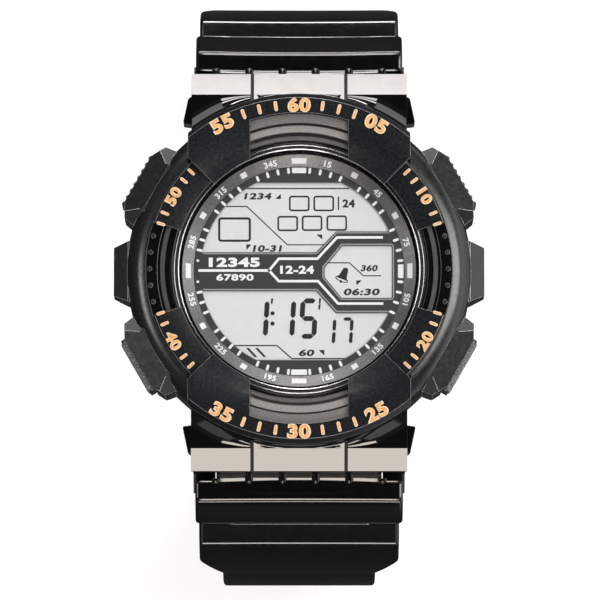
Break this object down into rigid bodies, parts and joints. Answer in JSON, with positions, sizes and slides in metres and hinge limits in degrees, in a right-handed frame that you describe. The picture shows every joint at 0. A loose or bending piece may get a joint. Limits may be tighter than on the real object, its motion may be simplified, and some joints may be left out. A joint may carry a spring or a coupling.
{
  "type": "digital sports watch",
  "caption": "Round digital sports watch with raised bezel claws, side push buttons and a ribbed resin strap that buckles.",
  "frame": {"origin": "centre of the case back's outer face", "axes": "+Z out of the dial, +Y towards 12 o'clock, +X towards 3 o'clock"},
  "size_m": [0.0538, 0.0858, 0.0677],
  "materials": {
    "case_resin": "fine matt black resin",
    "bezel_resin": "satin near-black resin with a fine speckle",
    "guard_resin": "semi-gloss black resin",
    "gloss_black": "polished black resin",
    "strap_resin": "glossy black urethane resin, flexible",
    "step_metal": "grained dark grey resin",
    "button_resin": "dark grey resin, toothed face",
    "back_steel": "circular brushed stainless steel",
    "screw_steel": "bright stainless steel",
    "pin_steel": "drawn stainless steel",
    "spring_steel": "drawn spring steel",
    "buckle_steel": "satin dark-plated steel",
    "lens_ring": "black, with a polished edge",
    "crystal": "clear mineral glass, polished",
    "gasket_rubber": "soft black rubber",
    "seal_rubber": "soft brown rubber",
    "dial_grey": "printed matt dark grey",
    "scale_grey": "printed matt grey with white marks",
    "display_glass": "pale silver liquid crystal cell",
    "display_ink": "dark grey segments",
    "light_guide": "white diffusing plastic",
    "lamp": "white lamp with a yellow face",
    "zebra": "striped silicone strip",
    "module_plastic": "natural moulded plastic",
    "holder_plastic": "black moulded plastic",
    "board": "green solder mask",
    "chip": "black moulded package",
    "can_metal": "bright nickel can",
    "cell_steel": "bright nickel-plated steel",
    "contact_brass": "gold-plated spring brass",
    "cushion": "grey foam rubber"
  },
  "bodies": {
    "case": {"case_body": "case_resin", "case_back": "back_steel", "back_gasket": "gasket_rubber", "back_screws": "screw_steel", "bezel": "bezel_resin", "step_ring": "step_metal", "left_guard": "guard_resin", "right_guard": "guard_resin", "upper_lug_cover": "gloss_black", "lower_lug_cover": "gloss_black", "glass": "crystal", "glass_gasket": "gasket_rubber", "glass_ring": "lens_ring", "scale_ring": "scale_grey", "dial_mask": "dial_grey", "display_panel": "display_glass", "display_digits": "display_ink", "backlight_panel": "light_guide", "backlight_lamp": "lamp", "zebra_strips": "zebra", "module_frame": "module_plastic", "circuit_board": "board", "controller_chip": "chip", "quartz_can": "can_metal", "battery_holder": "holder_plastic", "battery": "cell_steel", "battery_clip": "contact_brass", "buzzer_disc": "contact_brass", "buzzer_spring": "spring_steel", "switch_contacts": "contact_brass", "module_cushion": "cushion", "upper_strap_pin": "pin_steel", "lower_strap_pin": "pin_steel", "strap_pin_caps": "gloss_black", "light_button_spring": "spring_steel", "mode_button_spring": "spring_steel", "start_button_spring": "spring_steel", "reset_button_spring": "spring_steel"},
    "light_key": {"light_button": "button_resin", "light_button_seal": "seal_rubber", "light_button_clip": "spring_steel"},
    "mode_key": {"mode_button": "button_resin", "mode_button_seal": "seal_rubber", "mode_button_clip": "spring_steel"},
    "start_key": {"start_button": "button_resin", "start_button_seal": "seal_rubber", "start_button_clip": "spring_steel"},
    "reset_key": {"reset_button": "button_resin", "reset_button_seal": "seal_rubber", "reset_button_clip": "spring_steel"},
    "buckle_half": {"buckle_strap": "strap_resin"},
    "keeper": {"strap_keeper": "strap_resin"},
    "buckle": {"buckle_frame": "buckle_steel", "buckle_pin": "pin_steel"},
    "prong": {"buckle_prong": "buckle_steel"},
    "holed_half": {"hole_strap": "strap_resin"}
  },
  "joints": [
    {"name": "light_press", "type": "slide", "parent": "case", "child": "light_key", "axis": [0.866, -0.5, 0], "range_m": [0, 0.0008], "stiffness_N_per_m": 1200, "springref_m": -0.0008, "deforming": ["light_button_spring"]},
    {"name": "mode_press", "type": "slide", "parent": "case", "child": "mode_key", "axis": [0.866, 0.5, 0], "range_m": [0, 0.0008], "stiffness_N_per_m": 1200, "springref_m": -0.0008, "deforming": ["mode_button_spring"]},
    {"name": "start_press", "type": "slide", "parent": "case", "child": "start_key", "axis": [-0.866, -0.5, 0], "range_m": [0, 0.0008], "stiffness_N_per_m": 1200, "springref_m": -0.0008, "deforming": ["start_button_spring"]},
    {"name": "reset_press", "type": "slide", "parent": "case", "child": "reset_key", "axis": [-0.866, 0.5, 0], "range_m": [0, 0.0008], "stiffness_N_per_m": 1200, "springref_m": -0.0008, "deforming": ["reset_button_spring"]},
    {"name": "buckle_half_swing", "type": "hinge", "parent": "case", "child": "buckle_half", "pos_m": [0, 0.0246, 0.005], "axis": [1, 0, 0], "range_deg": [0, 12]},
    {"name": "holed_half_swing", "type": "hinge", "parent": "case", "child": "holed_half", "pos_m": [0, -0.0246, 0.005], "axis": [-1, 0, 0], "range_deg": [0, 12]},
    {"name": "buckle_swing", "type": "hinge", "parent": "buckle_half", "child": "buckle", "pos_m": [0, 0.02408, -0.03456], "axis": [1, 0, 0], "range_deg": [-45, 30]},
    {"name": "prong_swing", "type": "hinge", "parent": "buckle", "child": "prong", "pos_m": [0, 0.02408, -0.03456], "axis": [1, 0, 0], "range_deg": [0, 70]},
    {"name": "keeper_slide", "type": "hinge", "parent": "buckle_half", "child": "keeper", "pos_m": [0, 0.0252, -0.01866], "axis": [1, 0, 0], "range_deg": [-5.5, 7]}
  ]
}
